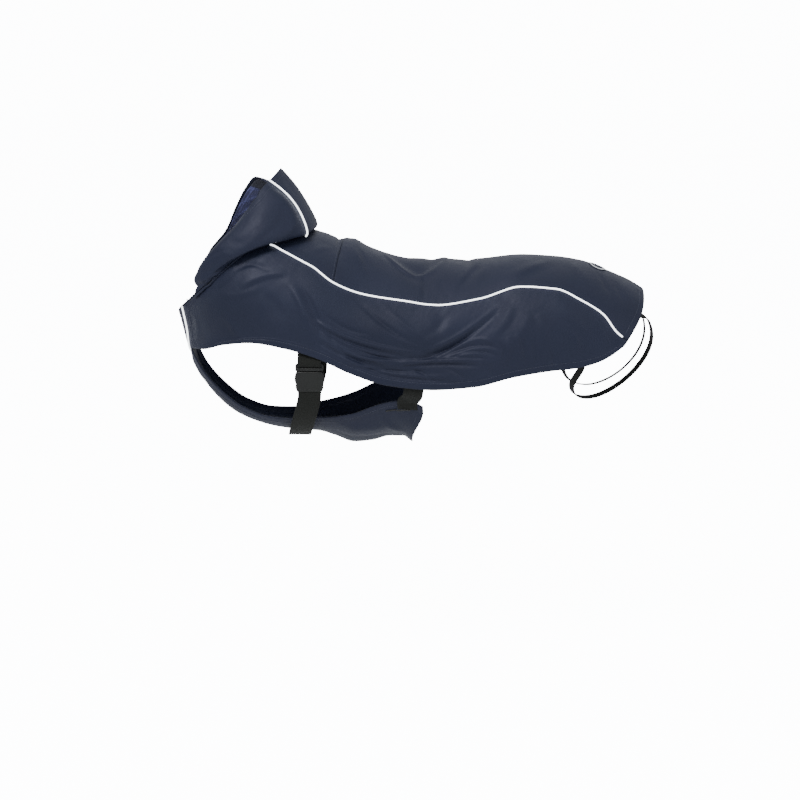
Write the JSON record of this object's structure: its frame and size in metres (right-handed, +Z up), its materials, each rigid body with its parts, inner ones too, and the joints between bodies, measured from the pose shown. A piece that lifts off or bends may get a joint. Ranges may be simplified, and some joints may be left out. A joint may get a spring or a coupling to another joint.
{
  "type": "dog raincoat",
  "caption": "Hooded raincoat for a dog in its worn, hollow form, with a piped back, a chest and belly panel, a buckled girth strap, belly straps and leg loops.",
  "frame": {"origin": "on the inner face of the back panel, on the centre plane at mid-back, where the dog's back carries the coat", "axes": "+X towards the tail along the back, -Y to the dog's left, +Z up"},
  "size_m": [0.6288, 0.2184, 0.3671],
  "materials": {
    "cloth": "navy coated rain cloth, soft sheen",
    "lining": "blue check woven lining, matt",
    "piping": "pale reflective cord",
    "webbing": "black woven webbing and elastic, matt",
    "buckle": "black moulded plastic, fine satin",
    "mark": "grey reflective film"
  },
  "bodies": {
    "root": {"back_panel": "cloth", "back_yoke": "cloth", "side_panel_left": "cloth", "side_panel_right": "cloth", "chest_belly_panel": "cloth", "hood_side_left": "cloth", "hood_gusset": "cloth", "hood_side_right": "cloth", "hood_lining": "lining", "body_piping_left": "piping", "body_piping_right": "piping", "hood_piping_left": "piping", "hood_piping_right": "piping", "chest_piping_left": "piping", "chest_piping_right": "piping", "girth_strap_left": "webbing", "girth_strap_right": "webbing", "girth_strap_lower": "webbing", "belly_strap_left": "webbing", "belly_strap_right": "webbing", "leg_loop_left": "webbing", "leg_loop_right": "webbing", "buckle_socket_left": "buckle", "buckle_socket_right": "buckle", "buckle_plug_left": "buckle", "buckle_plug_right": "buckle", "rump_mark": "mark"}
  },
  "joints": []
}
